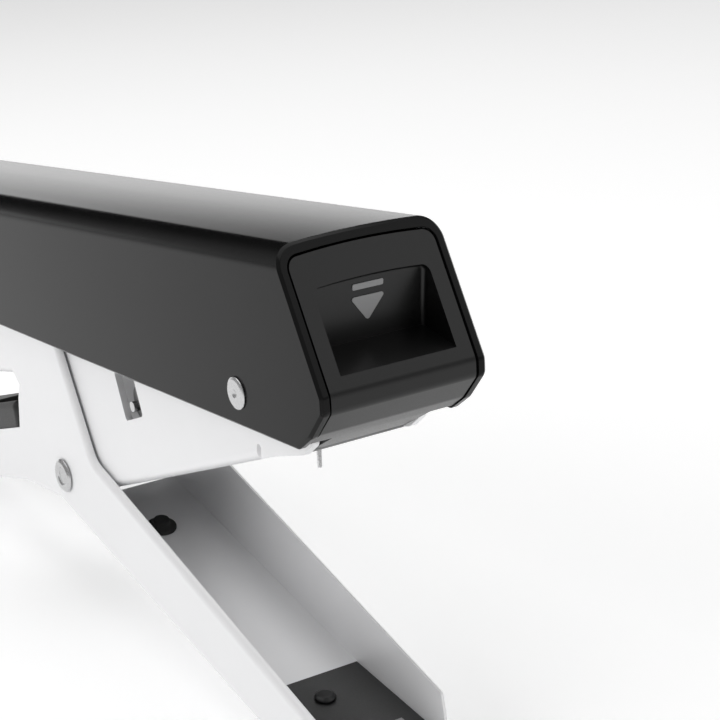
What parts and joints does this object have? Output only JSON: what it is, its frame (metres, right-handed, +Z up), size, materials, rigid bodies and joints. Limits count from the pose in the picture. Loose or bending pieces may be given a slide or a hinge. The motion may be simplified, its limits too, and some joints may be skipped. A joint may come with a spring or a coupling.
{
  "type": "stapling plier",
  "caption": "Long reach stapling plier: slim black cover as the upper handle, thumb button in the nose, pale folded frame and deep channel jaw.",
  "frame": {"origin": "centre of the bounding box, on the surface that the jaw's tip and the lower handle's heel stand on", "axes": "+X from the handles towards the nose, +Y to the left of the nose's travel (the far side from the visible rivet), +Z up"},
  "size_m": [0.1816, 0.0242, 0.0727],
  "materials": {
    "cover_black": "satin black moulding",
    "button_black": "satin black moulding",
    "icon_grey": "grey inlay",
    "grip_black": "satin black moulding",
    "pad_black": "black coated steel plate",
    "rubber_black": "soft black rubber",
    "pale_metal": "pale satin coated steel sheet",
    "plated_steel": "bright plated steel",
    "plain_steel": "plain steel",
    "dark_steel": "blackened steel",
    "spring_steel": "spring wire",
    "staple_wire": "bright galvanised wire"
  },
  "bodies": {
    "frame": {"frame_channel": "pale_metal", "lower_grip": "grip_black", "axle": "plated_steel", "nose_rivets": "plated_steel", "nose_plate": "plain_steel", "lever_pin": "plated_steel", "magazine_channel": "plated_steel", "staple_strip": "staple_wire", "front_staple": "staple_wire", "pusher_rod": "plated_steel", "pusher_spring": "spring_steel", "jaw_spring": "spring_steel"},
    "jaw": {"jaw_channel": "pale_metal", "anvil_pad": "pad_black", "anvil_die": "plain_steel", "pad_rivet": "dark_steel", "jaw_bumper": "rubber_black", "arm_pin": "plated_steel", "arm_rollers": "plain_steel"},
    "cover": {"cover_shell": "cover_black", "cover_bracket": "plain_steel"},
    "release_button": {"button_cap": "button_black", "button_icon": "icon_grey"},
    "driver_lever": {"driver_lever": "plain_steel", "guide_pin": "plated_steel"},
    "driver": {"driver_holder": "button_black", "driver_blade": "plain_steel"},
    "pusher": {"pusher": "button_black"}
  },
  "joints": [
    {"name": "jaw_pivot", "type": "hinge", "parent": "frame", "child": "jaw", "pos_m": [0.00816, 0, 0.02424], "axis": [0, -1, 0], "range_deg": [0, 31.8], "stiffness_Nm_per_rad": 0.5, "springref_deg": -34.38},
    {"name": "cover_pivot", "type": "hinge", "parent": "frame", "child": "cover", "pos_m": [0.07068, 0, 0.05222], "axis": [0, -1, 0], "range_deg": [0, 10.6]},
    {"name": "button_slide", "type": "slide", "parent": "cover", "child": "release_button", "axis": [0.4655, 0, -0.8851], "range_m": [0, 0.003], "stiffness_N_per_m": 300, "springref_m": -0.002},
    {"name": "lever_pivot", "type": "hinge", "parent": "frame", "child": "driver_lever", "pos_m": [0.04766, 0, 0.04836], "axis": [0, 1, 0], "range_deg": [0, 15], "stiffness_Nm_per_rad": 0.4, "springref_deg": -17.19},
    {"name": "driver_slide", "type": "slide", "parent": "frame", "child": "driver", "axis": [0.3396, 0, -0.9406], "range_m": [0, 0.007]},
    {"name": "pusher_slide", "type": "slide", "parent": "frame", "child": "pusher", "axis": [-0.9406, 0, -0.3396], "range_m": [0, 0.011], "stiffness_N_per_m": 60, "springref_m": -0.02}
  ],
  "couplings": [
    {"joint": "cover_pivot", "follows": "jaw_pivot", "ratio": 0.33333},
    {"joint": "driver_slide", "follows": "lever_pivot", "m_per_rad": 0.025974}
  ]
}
